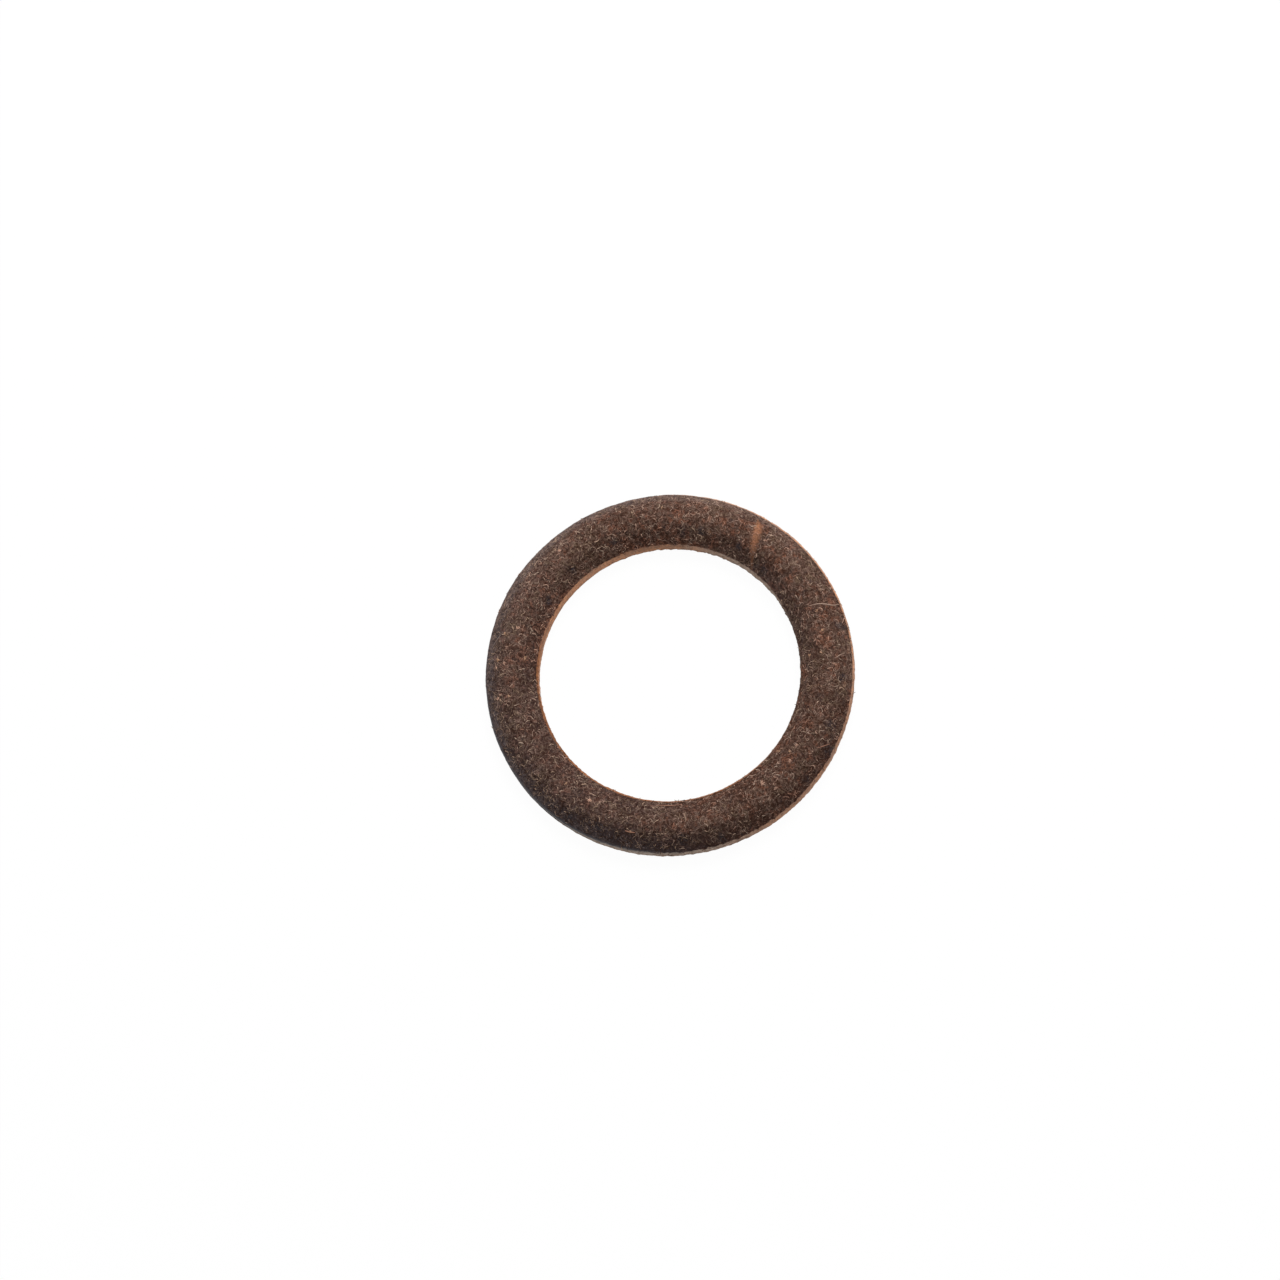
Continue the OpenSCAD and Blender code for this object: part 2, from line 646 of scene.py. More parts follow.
def nap_shades(place, colours):
    """The shade of the nap, and of what lies deep between its fibres"""
    mix, oiled, warmth, dusty = place.tree.mix, place.oiled, place.warmth, place.dusty_band
    broken = place.noise(0.5, 13).step(-0.5, 0.6)
    woven = place.ridges * 0.5 * broken + place.small_ridges * 0.5 * (1 - broken)
    # Painted sheen lightens the nap on the far side, and the dark patches, partly painted shade, darken it
    nap = woven * 0.95 + place.mottle * 0.08 + place.grain * 0.2 - oiled * 0.25 + 0.03 + dusty * 0.15
    lit = mix(warmth.ramp(0.0, 0.7), colours.brown, colours.russet)
    lit = mix((0 - warmth).ramp(0.1, 0.9), lit, colours.olive)
    lit = mix(place.greyness, lit, colours.slate)
    lit = mix(dusty * 0.8, lit, colours.dusty)
    # Painted grey sheen reaches the gaps between the fibres
    deep = mix((place.greyness * 0.5).clamped(), colours.dark, colours.polish)
    dye = place.noise(0.45, 27, detail=1.0).step(0.0, 1.0)
    deep = mix((dye * 0.6 + place.ink * 0.2 + place.blots * 0.3).clamped(), deep, colours.inky)
    deep = mix(place.blots * 0.22, deep, colours.polish)
    shade = mix(nap.clamped(), deep, lit)
    golden = place.tufts * (1 - oiled * 0.7) * (1 - place.greyed_band * 0.6)
    shade = mix(golden * (place.small_ridges * 0.35 + 0.1), shade, colours.golden)
    specks = place.noise(0.35, 8, detail=1.0).step(0.95, 1.25)
    return mix(specks * (1 - oiled * 0.5) * 0.6, shade, colours.pale), deep


def cut_shades(place, colours):
    """Shades of the cut edges where they are fresh and where they have aged"""
    mix, streaks, threads, pores = place.tree.mix, place.streaks, place.threads, place.pores
    bright_side = place.facing(35, 0.4, 1.0)
    light = (streaks * 0.3 + threads * 0.25 + pores * 0.35 + 0.62 - bright_side * 0.15).clamped()
    fresh = mix(light, colours.brown, colours.raw)
    fresh = mix((place.patches * 0.5 + pores * 0.3).clamped(), fresh, colours.rosy)
    light = (streaks * 0.35 + threads * 0.35 + pores * 0.4 + 0.62).clamped()
    aged = mix(light, colours.under, colours.soiled)
    aged = mix((pores * 0.5 + threads * 0.5 - 0.3).clamped() * 0.6, aged, colours.pale)
    return fresh, mix(place.facing(52, 0.75, 0.98) * 0.35, aged, colours.ashen)


def bore_edge_shade(place, colours, fresh, aged, deep):
    mix = place.tree.mix
    worn = (place.facing(345, -0.7, 0.5) + place.patches * 0.3).clamped()
    shade = mix(worn * 0.9, fresh, aged)
    # Its upper half is darker at both ends of the far side
    upper = place.height.step(LIP_EDGE_H - 1.1 * MM, LIP_EDGE_H - 0.1 * MM)
    ends = place.facing(97, 0.94, 1.0) + place.facing(166, 0.94, 1.0)
    shade = mix(upper * ends * 0.42, shade, colours.under)
    # Painted shade along the foot of the bore's cut edge, where it meets the floor
    foot = (place.height + place.fray).fall(0.1 * MM, 0.3 * MM)
    shade = mix(foot * 0.3, shade, colours.polish)
    # Its upper corner is rusty on the near side, where only the corner shows
    corner = place.height.step(LIP_EDGE_H - 0.2 * MM, LIP_EDGE_H) * place.facing(240, 0.0, 0.5)
    rust = (place.pores * 0.5 + 0.85 - place.facing(200, 0.85, 1.0) * 0.4).clamped()
    shade = mix(corner * 0.95, shade, mix(rust, colours.dark, colours.rusty))
    # On the right it is dark and grey
    return mix(place.facing(0, 0.76, 0.95) * 0.75, shade, deep)


def outer_edge_shade(place, colours, fresh, aged):
    mix, pores = place.tree.mix, place.pores
    worn = (1 - place.facing(8, -0.1, 0.8) + place.patches * 0.3).clamped()
    shade = mix(worn * 0.9, fresh, aged)
    ashes = place.facing(258, 0.7, 0.98) * (pores * 0.6 + place.threads * 0.5 + 0.45).clamped()
    shade = mix(ashes, shade, colours.ashen)
    # Painted light low on the near part of the outer cut edge, where its rounded foot faces down
    low = place.height.fall(0.3 * MM, 0.9 * MM) * place.facing(300, 0.4, 0.9)
    low = (pores * 0.6 + place.grain * 0.8 + 0.5).clamped() * low * 0.85
    shade = mix(low, shade, colours.rosy)
    top = place.height.step(LIP_EDGE_H - 0.8 * MM, LIP_EDGE_H - 0.2 * MM)
    top = top * (place.facing(300, 0.5, 1.0) * 0.2 + place.facing(333, 0.8, 1.0) * 0.45)
    shade = mix(top * (0.9 - pores * 0.8).clamped(), shade, colours.brown)
    # Over the left part the leather is rubbed, and a grey-blue reflection is painted on it
    rubbed = place.facing(165, 0.1, 0.5) * (place.streaks * 0.3 + 0.85).clamped()
    return mix(rubbed, shade, colours.polish)


def leather_finish(colours):
    material, tree = finish_tree("napped leather")
    place = Place(tree, tree.node("ShaderNodeTexCoord").out("Object"))
    under, polish_sheen = place.underside, place.polished_rim
    shade, deep = nap_shades(place, colours)
    plain = (place.mottle * 0.25 + 0.4 + place.ridges * 0.15).clamped()
    shade = tree.mix(under * 0.85, shade, tree.mix(plain, colours.dark, colours.under))
    fresh, aged = cut_shades(place, colours)
    shade = tree.mix(place.bore_wall, shade, bore_edge_shade(place, colours, fresh, aged, deep))
    shade = tree.mix(place.outer_wall, shade, outer_edge_shade(place, colours, fresh, aged))
    # The worn left corner of the outer lip, with a painted grey-blue reflection
    shade = tree.mix(polish_sheen * 0.8, shade, colours.polish)
    bared = place.scuff * (place.pores * 0.4 + place.small_ridges * 0.4 + 0.55).clamped()
    shade = tree.mix(bared, shade, colours.scuffed)

    depth = place.ridges * 0.4 + place.small_ridges * 0.4 + place.grain * 0.2
    depth = depth + (place.streaks + place.threads + place.pores * 0.5) * place.cut_edge * 0.3
    close_finish(
        tree,
        base_color=shade,
        roughness=0.9 - under * 0.2,
        coat_weight=polish_sheen * 0.5 + under * 0.1,
        coat_roughness=0.4,
        normal=tree.made("ShaderNodeBump", strength=0.8, distance=0.03 * MM, height=depth),
    )
    return material


def fibre_finish(colours, name="nap fibre", tone=None):
    """Fibres take their colour from two values that each carries: light, and warm"""
    material, tree = finish_tree(name)
    light = tree.node("ShaderNodeAttribute", {"attribute_name": "light"}).out("Fac")
    warm = tree.node("ShaderNodeAttribute", {"attribute_name": "warm"}).out("Fac")
    middle = tree.mix(warm.step(0.6, 0.95), colours.brown, colours.russet)
    middle = tree.mix((1 - warm).step(0.6, 0.75), middle, colours.olive)
    middle = tree.mix((1 - warm).step(0.8, 0.95), middle, colours.slate)
    shade = tree.mix(light.ramp(0.0, 0.5), colours.dark, middle)
    bright = tree.mix(warm.step(0.4, 0.75), colours.pale, colours.rosy)
    bright = tree.mix((1 - warm).step(0.5, 0.75) * 0.5, bright, colours.golden)
    bright = tree.mix(warm.step(0.86, 0.98) * 0.6, bright, colours.scuffed)
    shade = tree.mix(light.ramp(0.5, 1.0), shade, bright)
    if tone:
        shade = tree.mix((light * 1.2 + 0.1).clamped(), shade, tone)
    close_finish(tree, base_color=shade, roughness=0.85)
    return material


# The ring

# Share of the section's outline that the underside takes, and of the steps across
UNDER_LENGTH = 0.4
UNDER_STEPS = 0.27
# Strips that the ring is laid out in on its map, and the gap at their edges
MAP_STRIPS = 3
MAP_GAP = 0.004
# Steps of each bend of the section, and how near to each other points become one
BEND_STEPS = 24
WELD = 0.01 * MM


def section_curve(tree, size):
    """The section as a closed curve, X across from its mid line and Y up, from the outer lip's foot"""
    half = size["Section Width"] * 0.5
    edge_h = size["Lip Edge Height"]
    rise = tree.maths("TANGENT", size["Arm Slope"])
    upright_t = size["Leather Thickness"] / tree.maths("COSINE", size["Arm Slope"])
    land = (upright_t - edge_h) / rise
    crown_r = size["Valley Radius"] + size["Leather Thickness"]
    corner, foot = size["Corner Radius"], size["Foot Radius"]
    points = [
        (half, 0.0, foot),
        (half - land, 0.0, corner),
        (0.0, (half - land) * rise, size["Valley Radius"]),
        (land - half, 0.0, corner),
        (0 - half, 0.0, foot),
        (0 - half, edge_h, corner),
        (0.0, half * rise + edge_h, crown_r),
        (half, edge_h, corner),
    ]
    index = tree.made("GeometryNodeInputIndex")

    def chosen(data_type, values):
        inputs = {"Index": index, **{str(i): value for i, value in enumerate(values)}}
        settings = {"data_type": data_type, "choices": len(values)}
        return tree.node("GeometryNodeIndexSwitch", settings, inputs).out()

    corners = chosen("VECTOR", [tree.vector(x, y) for x, y, _ in points])
    bends = chosen("FLOAT", [bend for _, _, bend in points])
    line = moved(tree, tree.made("GeometryNodeMeshLine", count=len(points)), position=corners)
    curve = tree.made("GeometryNodeMeshToCurve", mesh=store(tree, line, "bend", bends))
    curve = tree.made("GeometryNodeSetSplineCyclic", geometry=curve, cyclic=True)
    rounding = {"radius": stored(tree, "bend"), "count": BEND_STEPS, "limit_radius": True}
    return tree.made("GeometryNodeFilletCurve", {"mode": "POLY"}, curve=curve, **rounding)


def ring_tree(values):
    tree, size = shape_tree("Moulded Ring", values)
    counts = {"Vertices X": size["Steps Around"] + 1, "Vertices Y": size["Steps Across"] + 1}
    sheet = tree.node("GeometryNodeMeshGrid", None, {"Size X": 1.0, "Size Y": 1.0, **counts})
    around, across, _ = tree.parts(sheet.out("UV Map"))

    # The map has strips of the unrolled ring, one above the other
    settings = {"domain": "FACE", "data_type": "FLOAT"}
    mean_around = tree.node("GeometryNodeFieldOnDomain", settings, {0: around}).out()
    strip = tree.maths("FLOOR", mean_around * MAP_STRIPS)
    u = (around * MAP_STRIPS - strip) * (1 - 2 * MAP_GAP) + MAP_GAP
    v = (across * (1 - 2 * MAP_STRIPS * MAP_GAP) + strip) / MAP_STRIPS + MAP_GAP
    mapped = store(tree, sheet.out("Mesh"), "OFBake", tree.vector(u, v), "FLOAT2", "CORNER")

    under = across.ramp(0.0, UNDER_STEPS) * UNDER_LENGTH
    share = under + across.ramp(UNDER_STEPS, 1.0) * (1 - UNDER_LENGTH)
    inputs = {"Curves": section_curve(tree, size), "Factor": share}
    sample = tree.node("GeometryNodeSampleCurve", {"mode": "FACTOR", "data_type": "FLOAT"}, inputs)
    outward, up, _ = tree.parts(sample.out("Position"))
    radius = outward + size["Crown Circle Radius"]
    turn = around * math.tau
    place = tree.vector(tree.maths("COSINE", turn) * radius, tree.maths("SINE", turn) * radius, up)
    rolled = moved(tree, mapped, position=place)
    closed = tree.made("GeometryNodeMergeByDistance", geometry=rolled, distance=WELD)

    spot = Place(tree, tree.made("GeometryNodeInputPosition"))
    edge = spot.cut_edge
    wave = spot.noise(9.0, 21) * 0.6 + spot.noise(3.0, 22) * 0.5
    tufts = spot.noise(0.9, 23) * 0.25 + spot.noise(0.32, 24) * 0.4
    layers = spot.noise(0.6, 25, flatter=3.0, detail=3.0) * 0.8
    layers = layers * (1 - spot.facing(290, 0.3, 0.9) * 0.6)
    rough = tufts * (1 - edge) * (1 - spot.underside * 0.7) + layers * edge
    rough = rough * (1 - spot.polished_rim * 0.6) * size["Grain"]
    height = wave * size["Waviness"] + rough - spot.scuff * SCUFF_DEPTH
    # The lips stay level where the ring stands on them
    height = height * spot.height.step(0.0, 0.35 * MM)
    relief = tree.vector_maths("SCALE", tree.made("GeometryNodeInputNormal"), height)
    # The right part of the bore was cut least cleanly, and then the near part of the outside
    outer_lip = spot.radius.step(CROWN_R, OUTSIDE_R)
    bore_share = spot.facing(55, 0.2, 0.8) * 1.4 + spot.facing(205, 0.4, 0.9) * 0.5 + 0.35
    lips = bore_share * (1 - outer_lip) + (spot.facing(295, 0.2, 0.9) + 0.1) * outer_lip
    lips = lips * (1 - spot.clear_of_lips)
    ragged = spot.noise(0.36, 26) * lips * size["Grain"]
    level_out = tree.vector_maths("NORMALIZE", tree.vector(spot.x, spot.y))
    relief = tree.vector_maths("ADD", relief, tree.vector_maths("SCALE", level_out, ragged))
    shaped = moved(tree, closed, offset=relief)
    # The sheet was wound with its faces inwards
    outwards = tree.made("GeometryNodeFlipFaces", mesh=shaped)
    close_tree(tree, outwards, size["Material"])
    return tree


# Fibres

# Bow and double bend of each kind of fibre, as shares of its length
CURLS = ((0.10, 0.05), (0.28, -0.03), (0.05, 0.13), (0.40, 0.06), (0.20, -0.12), (0.02, 0.03))
# Smallest and largest fibre, as shares of the mean, and how they lean, as shares of the lift
FIBRE_SIZES = (0.45, 1.55)
FIBRE_LEANS = (-1.0, 0.5)
# How far fibres wind out of line, and the width of those windings in millimetres
WIND = 0.22 * MM
WIND_SIZE = 0.45
# Length and width of the cut edges' fibres and width of the long ones, as shares of the face's
EDGE_FIBRE = 0.75
LONG_FIBRE = 0.9
# Width of a single fibre's ends, as a share of its middle's
FIBRE_END = 0.35


def fibre_shapes(tree, length, width, points):
    """Fibres of each curl, lying along X with both ends just under the leather"""
    shapes = tree.node("GeometryNodeGeometryToInstance")
    for bow, double in CURLS:
        line = tree.made("GeometryNodeMeshLine", count=points)
        t = tree.made("GeometryNodeInputIndex") / (points - 1)
        hump = t * (1 - t) * 4.0
        x = (t - 0.5) * length
        y = (hump * bow + tree.maths("SINE", t * math.tau) * double - bow * 0.6) * length
        z = (hump * 0.09 - 0.02) * length
        bent = store(tree, moved(tree, line, position=tree.vector(x, y, z)), "along", t)
        curve = tree.made("GeometryNodeMeshToCurve", mesh=bent)
        circle = {"resolution": 3, "radius": width * 0.5}
        profile = tree.made("GeometryNodeCurvePrimitiveCircle", {"mode": "RADIUS"}, **circle)
        along = stored(tree, "along")
        inputs = {"profile_curve": profile, "scale": along * (1 - along) * 3.0 + 0.25, "fill_caps": True}
        tube = tree.made("GeometryNodeCurveToMesh", curve=curve, **inputs)
        tree.raw.links.new(tube.socket, shapes.raw.inputs[0])
    return shapes.out()


def chance_of(tree, low, high, seed):
    return tree.made("FunctionNodeRandomValue", {"data_type": "FLOAT"}, min=low, max=high, seed=seed)


def turned(tree, rotation, axis, angle):
    by = tree.made("FunctionNodeAxisAngleToRotation", axis=axis, angle=angle)
    settings = {"rotation_space": "LOCAL"}
    return tree.node("FunctionNodeRotateRotation", settings, {0: rotation, 1: by}).out()


def fibre_light(tree, spot, bonus):
    """How light a fibre is, from 0 to 1: dark, brown, then pale"""
    chance = chance_of(tree, 0.0, 1.0, 4)
    face = chance**2.4 * 0.88 + chance.step(0.85, 1.0) * 0.16 + 0.04
    face = face + spot.mottle * 0.08 + spot.tufts * 0.15
    # The dark patches, partly painted shade, darken fibres, and painted sheen lightens them on the far side
    face = face - spot.oiled * (1 - chance.step(0.6, 0.95) * 0.5) * 0.33 + spot.dusty_band * 0.08
    light = face * (1 - spot.cut_edge) + (chance * 0.4 + 0.45) * spot.cut_edge
    return (light * (1 - spot.scuff) + spot.scuff * (chance * 0.3 + 0.4) + bonus).clamped()


def fibre_warmth(tree, spot):
    """How warm a fibre's brown is, from 0 to 1: slate, olive, brown, then russet"""
    face = 0.5 + spot.warmth * 0.36 + chance_of(tree, -0.07, 0.07, 5)
    # Fibres turn slate where grey sheen is painted, and on the greyed patches
    face = tree.maths("MAXIMUM", face, 0.22) * (1 - spot.greyness * 0.8)
    raw = 0.95 - spot.facing(345, -0.5, 0.4) * 0.8
    warm = face * (1 - spot.cut_edge) + raw * spot.cut_edge
    return (warm * (1 - spot.scuff) + spot.scuff).clamped()


def fibre_tree(values):
    """Fibres on the leather between two radii, on its face or on its cut edges"""
    tree, size = shape_tree("Nap Fibres", values)
    settings = {"transform_space": "RELATIVE"}
    leather = tree.node("GeometryNodeObjectInfo", settings, {"Object": size["Leather"]}).out("Geometry")
    # Set on the faces turned inwards, the fibres lie half sunk in the leather
    inwards = tree.made("GeometryNodeFlipFaces", mesh=leather)
    spot = Place(tree, tree.made("GeometryNodeInputPosition"))
    beyond_inner = tree.maths("GREATER_THAN", spot.radius, size["Inner Radius"])
    within_outer = tree.maths("LESS_THAN", spot.radius, size["Outer Radius"])
    kind = 1 - abs(spot.cut_edge - size["On Edges"])
    bare = (1 - spot.underside) * (1 - spot.polished_rim) * (1 - spot.scuff * 0.6)
    on_face = spot.clear_of_lips * spot.height.step(0.9 * MM, 1.3 * MM)
    on_edges = spot.height.step(0.4 * MM, 0.7 * MM)
    inset = on_face * (1 - size["On Edges"]) + on_edges * size["On Edges"]
    patchy = (spot.mottle * 0.15 + 1.0).clamped()
    density = size["Density"] * beyond_inner * within_outer * kind * bare * inset * patchy / (MM * MM)
    inputs = {"Mesh": inwards, "Density": density, "Seed": size["Seed"]}
    settings = {"distribute_method": "RANDOM"}
    scatter = tree.node("GeometryNodeDistributePointsOnFaces", settings, inputs)
    points = store(tree, scatter.out("Points"), "light", fibre_light(tree, spot, size["Light"]))
    points = store(tree, points, "warm", fibre_warmth(tree, spot))
    points = store(tree, points, "out", scatter.out("Normal"), "FLOAT_VECTOR")

    lying = turned(tree, scatter.out("Rotation"), (0.0, 0.0, 1.0), chance_of(tree, 0.0, math.tau, 1))
    lean = chance_of(tree, *FIBRE_LEANS, 2) * size["Lift"]
    scale = chance_of(tree, *FIBRE_SIZES, 3)
    fibres = tree.made(
        "GeometryNodeInstanceOnPoints",
        points=points,
        instance=fibre_shapes(tree, size["Length"], size["Width"], size["Points"]),
        pick_instance=True,
        rotation=turned(tree, lying, (0.0, 1.0, 0.0), lean),
        scale=tree.vector(scale, scale, scale),
    )
    real = tree.made("GeometryNodeRealizeInstances", geometry=fibres)

    # Neighbouring fibres wind in their own ways
    wind = spot.noise_node(WIND_SIZE, 31, detail=1.0).out("Color")
    sway = tree.vector_maths("SUBTRACT", wind, (0.5, 0.5, 0.5))
    out = stored(tree, "out", "FLOAT_VECTOR")
    off = tree.vector_maths("SCALE", out, tree.vector_maths("DOT_PRODUCT", sway, out))
    sway = tree.vector_maths("SUBTRACT", sway, off)
    wound = moved(tree, real, offset=tree.vector_maths("SCALE", sway, WIND))

    # On the map a fibre is a speck, placed by how light and how warm it is
    _, _, side = tree.parts(tree.made("GeometryNodeInputNormal"))
    u = stored(tree, "light") * 0.97 + stored(tree, "along") * 0.01 + 0.01
    v = stored(tree, "warm") * 0.97 + side * 0.008 + 0.015
    mapped = store(tree, wound, "OFBake", tree.vector(u, v), "FLOAT2", "CORNER")
    close_tree(tree, mapped, size["Material"])
    return tree


# Operators


def dress(piece):
    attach(piece, BODY)


class PACKING_OT_ring(bpy.types.Operator):
    """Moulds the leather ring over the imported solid"""

    bl_idname = "packing.mould_ring"
    bl_label = "Mould Ring"

    def execute(self, context):
        sizes = context.scene.packing_ring
        values = {
            "Section Width": OUTSIDE_R - BORE_R,
            "Crown Circle Radius": CROWN_R,
            "Lip Edge Height": LIP_EDGE_H,
            "Leather Thickness": LEATHER_T,
            "Arm Slope": ARM_SLOPE,
            **labels({name: getattr(sizes, name) for name in RingSizes.__annotations__}),
            "Material": leather_finish(context.scene.packing_colours),
        }
        ring = grown(RING, ring_tree(values), values)
        dress(ring)
        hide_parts(NODE)
        return {"FINISHED"}


# Radii that part the face into beds of nap, so that no piece is too heavy
BEDS = (BORE_R - 1 * MM, CROWN_R - 0.2 * MM, CROWN_R + 1.1 * MM, OUTSIDE_R + 1 * MM)


def fibre_values(sizes, finish, **changed):
    """What loose fibres are made from. They lie on the whole face unless this is changed"""
    values = {
        "leather": bpy.data.objects[RING],
        "length": sizes.length,
        "width": sizes.width,
        "density": sizes.face_density,
        "inner_radius": BEDS[0],
        "outer_radius": BEDS[-1],
        "on_edges": 0.0,
        "lift": 0.12,
        "light": 0.0,
        "points": 5,
        "seed": 0,
        "material": finish,
    }
    return labels({**values, **changed})


def raise_fibres(name, tree, sizes, finish, **changed):
    dress(grown(name, tree, fibre_values(sizes, finish, **changed)))


class PACKING_OT_nap(bpy.types.Operator):
    """Scatters loose fibres over the face and the cut edges"""

    bl_idname = "packing.raise_nap"
    bl_label = "Raise Nap"

    def execute(self, context):
        sizes = context.scene.packing_nap
        finish = fibre_finish(context.scene.packing_colours)
        tree = fibre_tree(fibre_values(sizes, finish))
        names = ("nap_inside", "nap_crown", "nap_outside")
        for seed, (name, low, high) in enumerate(zip(names, BEDS, BEDS[1:])):
            raise_fibres(name, tree, sizes, finish, seed=seed, inner_radius=low, outer_radius=high)
        edge = {"length": sizes.length * EDGE_FIBRE, "width": sizes.width * EDGE_FIBRE}
        edge["density"] = sizes.edge_density
        raise_fibres("nap_edges", tree, sizes, finish, seed=3, on_edges=1.0, **edge)
        curls = {"length": sizes.long_length, "width": sizes.width * LONG_FIBRE}
        curls["density"] = sizes.long_density
        raise_fibres("nap_long", tree, sizes, finish, seed=9, points=9, light=0.02, **curls)
        return {"FINISHED"}


# Tufts that stand out, by their colour. Each has its place, as degrees round the ring and millimetres from
# its axis, then its radius
TUFTS = {
    "golden": (
        (189.0, 14.54, 0.10), (175.2, 15.49, 0.14), (173.7, 13.06, 0.14), (165.8, 15.30, 0.12),
        (228.7, 13.90, 0.12), (322.2, 12.54, 0.13), (324.3, 13.51, 0.13), (20.2, 14.36, 0.12),
        (12.7, 14.31, 0.14), (4.7, 13.98, 0.12), (4.3, 12.80, 0.12), (257.1, 15.32, 0.12),
        (92.0, 15.10, 0.10),
    ),
    "rosy": (
        (188.5, 15.60, 0.15), (187.4, 15.30, 0.11), (138.8, 15.50, 0.13), (177.8, 15.64, 0.10),
        (176.5, 14.87, 0.12), (163.0, 14.20, 0.15), (131.0, 15.00, 0.14), (239.7, 13.89, 0.16),
        (327.3, 13.74, 0.13), (334.9, 14.68, 0.12), (308.2, 13.71, 0.20), (310.5, 14.87, 0.12),
        (321.2, 14.08, 0.12),
    ),
    "pale": (
        (212.9, 15.13, 0.06), (7.1, 14.41, 0.08), (220.1, 14.21, 0.07), (6.9, 15.63, 0.09),
    ),
}
FIRST_TUFT_SEED = 4

# Single fibres and tags that stand out: name, width in millimetres, how light and how warm it is, then
# its route, as degrees round the ring, millimetres from its axis and millimetres above the leather
STRAYS = (
    ("stray_crease", 0.13, 0.72, 0.5,
     ((23.2, 13.7, 0), (22.8, 14.3, 0.03), (22.2, 15.0, 0.04), (21.2, 15.6, 0.02), (20.6, 16.1, 0.01),
      (20.8, 16.5, 0))),
    ("stray_right", 0.12, 0.62, 0.5,
     ((2.2, 15.1, 0), (2.8, 15.35, 0.04), (3.6, 15.6, 0.02), (4.4, 16.0, 0))),
    ("stray_bore", 0.11, 0.55, 0.8,
     ((264.6, 12.5, 0), (267.5, 12.4, 0.03), (271.0, 12.5, 0.03), (275.2, 12.4, 0))),
    ("stray_crown", 0.10, 0.7, 0.3,
     ((276.8, 13.3, 0), (276.2, 13.6, 0.04), (276.7, 14.0, 0.04), (276.3, 14.3, 0))),
    ("stray_lint", 0.12, 1.0, 0.2,
     ((119.0, 13.75, 0.04), (118.0, 13.62, 0.07), (116.9, 13.75, 0.04))),
    ("stray_scuff", 0.15, 0.95, 0.6,
     ((52.6, 13.30, 0.02), (51.6, 13.10, 0.06), (52.3, 12.95, 0.02))),
    ("stray_streak", 0.14, 0.6, 0.9,
     ((255.4, 15.30, 0), (257.0, 15.36, 0.04), (258.8, 15.30, 0))),
    ("stray_outer", 0.10, 0.45, 0.8,
     ((330.2, 15.4, 0), (331.4, 15.65, 0.04), (332.6, 15.9, 0.02), (333.8, 16.15, 0))),
    ("stray_scratch", 0.08, 0.62, 0.05,
     ((165.6, 15.53, 0), (167.2, 15.78, 0.01), (168.9, 16.05, 0.01), (170.5, 16.34, 0))),
    ("nub_bore", 0.27, 0.3, 0.3,
     ((187.6, 11.97, -0.5), (188.4, 11.95, -0.6), (189.2, 11.97, -0.75))),
    ("nub_outside", 0.34, 0.5, 0.9,
     ((269.1, 16.62, -1.2), (269.7, 16.62, -1.25), (270.4, 16.62, -1.2))),
)
# A height above the whole ring, where rays down to the leather start
ABOVE_ALL = 10 * MM


def on_leather(degrees, radius, lift=0.0):
    """The point of the upper face at this place, raised by lift. The last two are in millimetres"""
    turn = math.radians(degrees)
    above = (math.cos(turn) * radius * MM, math.sin(turn) * radius * MM, ABOVE_ALL)
    hit, place, _, _ = bpy.data.objects[RING].ray_cast(above, (0.0, 0.0, -1.0))
    if not hit:
        raise RuntimeError("there is no leather at %s degrees, %s mm" % (degrees, radius))
    return place + Vector((0.0, 0.0, lift * MM))


def tuft_bed(spots, sides=8):
    """Small fans of faces on the leather, for a tuft's fibres to lie on. They face down, so that the fibres
    aren't sunk as the rest of the nap is"""
    points, faces = [], []
    for degrees, radius, size in spots:
        middle = len(points)
        points.append(on_leather(degrees, radius))
        for k in range(sides):
            turn = math.tau * k / sides
            out = size * math.cos(turn)
            along = math.degrees(size * math.sin(turn) / radius)
            points.append(on_leather(degrees + along, radius + out))
            faces.append((middle, middle + 1 + (k + 1) % sides, middle + 1 + k))
    mesh = bpy.data.meshes.new("tuft bed")
    mesh.from_pydata(points, [], faces)
    return mesh


def stray(name, width, light, warm, route, finish):
    """One fibre, as a round thread that tapers to both ends"""
    curve = bpy.data.curves.new(name, "CURVE")
    curve.dimensions = "3D"
    curve.bevel_depth = width * MM / 2
    curve.bevel_resolution = 1
    curve.resolution_u = 6
    curve.use_fill_caps = True
    thread = curve.splines.new("NURBS")
    thread.points.add(len(route) - 1)
    thread.use_endpoint_u = True
    thread.order_u = 3
    for k, (point, place) in enumerate(zip(thread.points, route)):
        share = k / (len(route) - 1)
        point.co = (*on_leather(*place), 1.0)
        point.radius = FIBRE_END + (1 - FIBRE_END) * 4 * share * (1 - share)
    holder = bpy.data.objects.new(name + "_holder", curve)
    mesh = bpy.data.meshes.new_from_object(holder)
    bpy.data.objects.remove(holder)
    mesh.name = name
    for label, value in (("light", light), ("warm", warm)):
        mesh.attributes.new(label, "FLOAT", "POINT").data.foreach_set("value", [value] * len(mesh.vertices))
    mesh.materials.clear()
    mesh.materials.append(finish)
    return added(name, mesh)


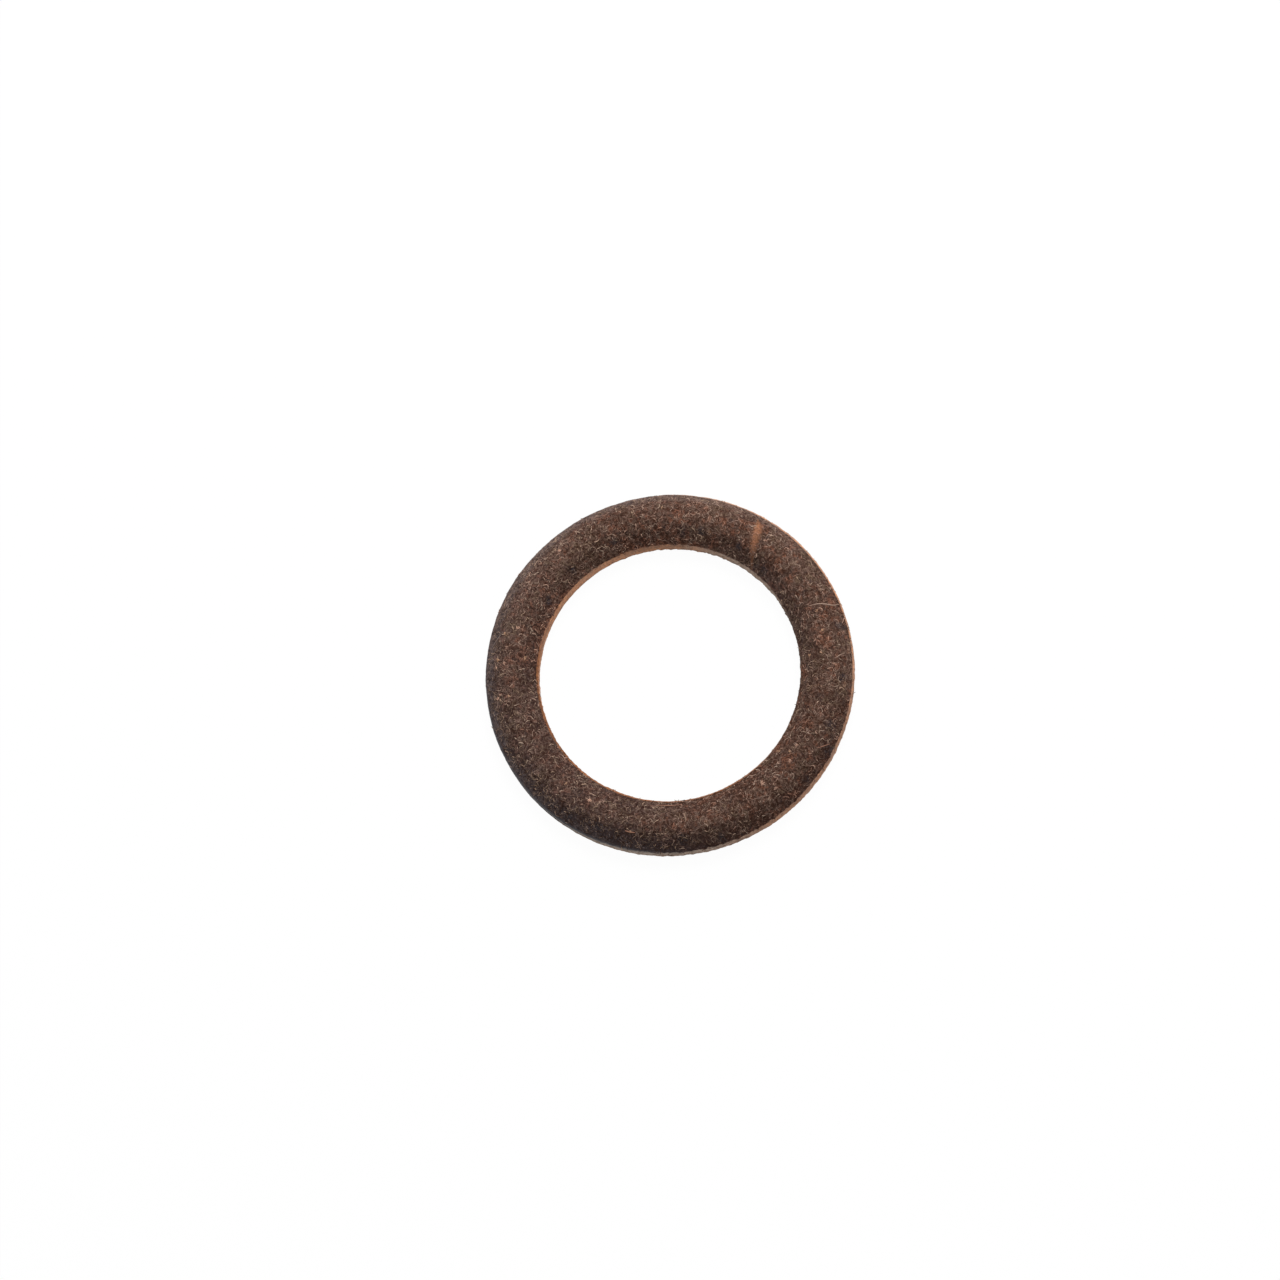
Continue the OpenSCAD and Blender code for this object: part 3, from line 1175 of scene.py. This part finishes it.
class PACKING_OT_marks(bpy.types.Operator):
    """Lays the tufts and single fibres that stand out from the nap"""

    bl_idname = "packing.lay_marks"
    bl_label = "Lay Marks"

    def execute(self, context):
        sizes = context.scene.packing_nap
        tones = context.scene.packing_colours
        plain = fibre_finish(tones)
        tree = fibre_tree(fibre_values(sizes, plain))
        for seed, (tone, spots) in enumerate(TUFTS.items(), start=FIRST_TUFT_SEED):
            name = "tufts_" + tone
            bed = added(name + "_bed", tuft_bed(spots))
            finish = fibre_finish(tones, name, getattr(tones, tone))
            more = {"length": sizes.tuft_length, "density": sizes.tuft_density, "light": 0.25}
            raise_fibres(name, tree, sizes, finish, seed=seed, leather=bed, **more)
            bpy.data.objects.remove(bed)
        for name, width, light, warm, route in STRAYS:
            dress(stray(name, width, light, warm, route, plain))
        return {"FINISHED"}


# Metres: half the floor's side, and the large soft lamp's place and width
FLOOR_HALF = 1.5
LAMP_PLACE = (0.07, 0.29, 0.40)
LAMP_WIDTH = 0.3
# Share of plain white in the floor that the camera sees. The rest takes light and shadow
FLOOR_WHITE = 0.97
WHITE = (1.0, 1.0, 1.0)


class PACKING_OT_stage(bpy.types.Operator):
    """Sets the floor, the lamp, the white surround and the camera"""

    bl_idname = "packing.set_stage"
    bl_label = "Set Stage"

    def execute(self, context):
        settings = context.scene.packing_stage
        floor = added("floor", floor_mesh(FLOOR_HALF))
        floor.data.materials.append(floor_finish())
        add_lamp("key_light", LAMP_PLACE, LAMP_WIDTH, settings.key_power)
        world = bpy.data.worlds.new("surround")
        world.use_nodes = True
        world.node_tree.nodes.clear()
        tree = Tree(world.node_tree)
        strength = settings.ambient + seen_share(tree) * (1 - settings.ambient)
        glow = tree.made("ShaderNodeBackground", color=WHITE, strength=strength)
        tree.node("ShaderNodeOutputWorld", None, {"Surface": glow})
        context.scene.world = world
        context.scene.camera = camera(settings)
        context.scene.view_settings.view_transform = "Standard"
        return {"FINISHED"}


def seen_share(tree):
    """1 for what the camera sees, also in a reflection or through glass"""
    rays = tree.node("ShaderNodeLightPath")
    kinds = ("Is Camera Ray", "Is Glossy Ray", "Is Transmission Ray")
    first, second, third = (rays.out(kind) for kind in kinds)
    return (first + second + third).clamped()


def floor_mesh(half):
    mesh = bpy.data.meshes.new("floor")
    corners = [(-half, -half, 0.0), (half, -half, 0.0), (half, half, 0.0), (-half, half, 0.0)]
    mesh.from_pydata(corners, [], [(0, 1, 2, 3)])
    return mesh


def floor_finish():
    """White to the camera, with a share of real light so that the ring's shadow stays"""
    material, tree = finish_tree("white floor")
    paper = tree.made("ShaderNodeBsdfDiffuse", color=(0.9, 0.9, 0.9))
    white = tree.made("ShaderNodeEmission", color=WHITE, strength=1.0)
    inputs = {0: seen_share(tree) * FLOOR_WHITE, 1: paper, 2: white}
    blend = tree.node("ShaderNodeMixShader", None, inputs)
    tree.node("ShaderNodeOutputMaterial", None, {"Surface": blend.out()})
    return material


def add_lamp(name, place, size, power):
    light = bpy.data.lights.new(name, "AREA")
    light.shape = "DISK"
    light.size = size
    light.energy = power
    lamp = bpy.data.objects.new(name, light)
    bpy.context.scene.collection.objects.link(lamp)
    lamp.location = place
    lamp.rotation_euler = Vector(place).to_track_quat("Z", "Y").to_euler()


def camera(settings):
    """A camera that keeps +Y upright in the picture"""
    level = math.cos(settings.elevation)
    side = math.sin(settings.azimuth)
    front = math.cos(settings.azimuth)
    towards = Vector((level * side, -level * front, math.sin(settings.elevation)))
    up = (Vector((0.0, 1.0, 0.0)) - towards * towards.y).normalized()
    right = up.cross(towards)
    target = Vector((0.0, 0.0, LIP_EDGE_H)) + right * settings.aim[0] + up * settings.aim[1]
    data = bpy.data.cameras.new("camera")
    data.lens = data.sensor_width * settings.distance / settings.view_width
    data.clip_start = 0.01
    made = bpy.data.objects.new("camera", data)
    bpy.context.scene.collection.objects.link(made)
    turn = Matrix((right, up, towards)).transposed().to_4x4()
    made.matrix_world = Matrix.Translation(target + towards * settings.distance) @ turn
    return made


PARTS = {
    "packing.mould_ring": ("packing_ring", "packing_colours"),
    "packing.raise_nap": ("packing_nap",),
    "packing.lay_marks": (),
    "packing.set_stage": ("packing_stage",),
}
GROUPS = {
    "packing_ring": RingSizes,
    "packing_nap": NapSizes,
    "packing_colours": LeatherColours,
    "packing_stage": StageSettings,
}


class PACKING_PT_panel(bpy.types.Panel):
    """Lists the ring's pieces with their sizes and colours"""

    bl_label = "Packing Ring"
    bl_idname = "PACKING_PT_panel"
    bl_space_type = "VIEW_3D"
    bl_region_type = "UI"
    bl_category = "Packing Ring"

    def draw(self, context):
        for operator, names in PARTS.items():
            box = self.layout.box()
            for name in names:
                group = getattr(context.scene, name)
                for label in type(group).__annotations__:
                    box.prop(group, label)
            box.operator(operator)


CLASSES = (
    *GROUPS.values(),
    PACKING_OT_ring,
    PACKING_OT_nap,
    PACKING_OT_marks,
    PACKING_OT_stage,
    PACKING_PT_panel,
)


def register():
    for cls in CLASSES:
        bpy.utils.register_class(cls)
    for name, group in GROUPS.items():
        setattr(bpy.types.Scene, name, PointerProperty(type=group))


def unregister():
    for name in GROUPS:
        delattr(bpy.types.Scene, name)
    for cls in reversed(CLASSES):
        bpy.utils.unregister_class(cls)


def main():
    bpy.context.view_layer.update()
    register()
    bpy.ops.packing.mould_ring()
    bpy.ops.packing.raise_nap()
    bpy.ops.packing.lay_marks()
    bpy.ops.packing.set_stage()


if __name__ == "__main__":
    main()
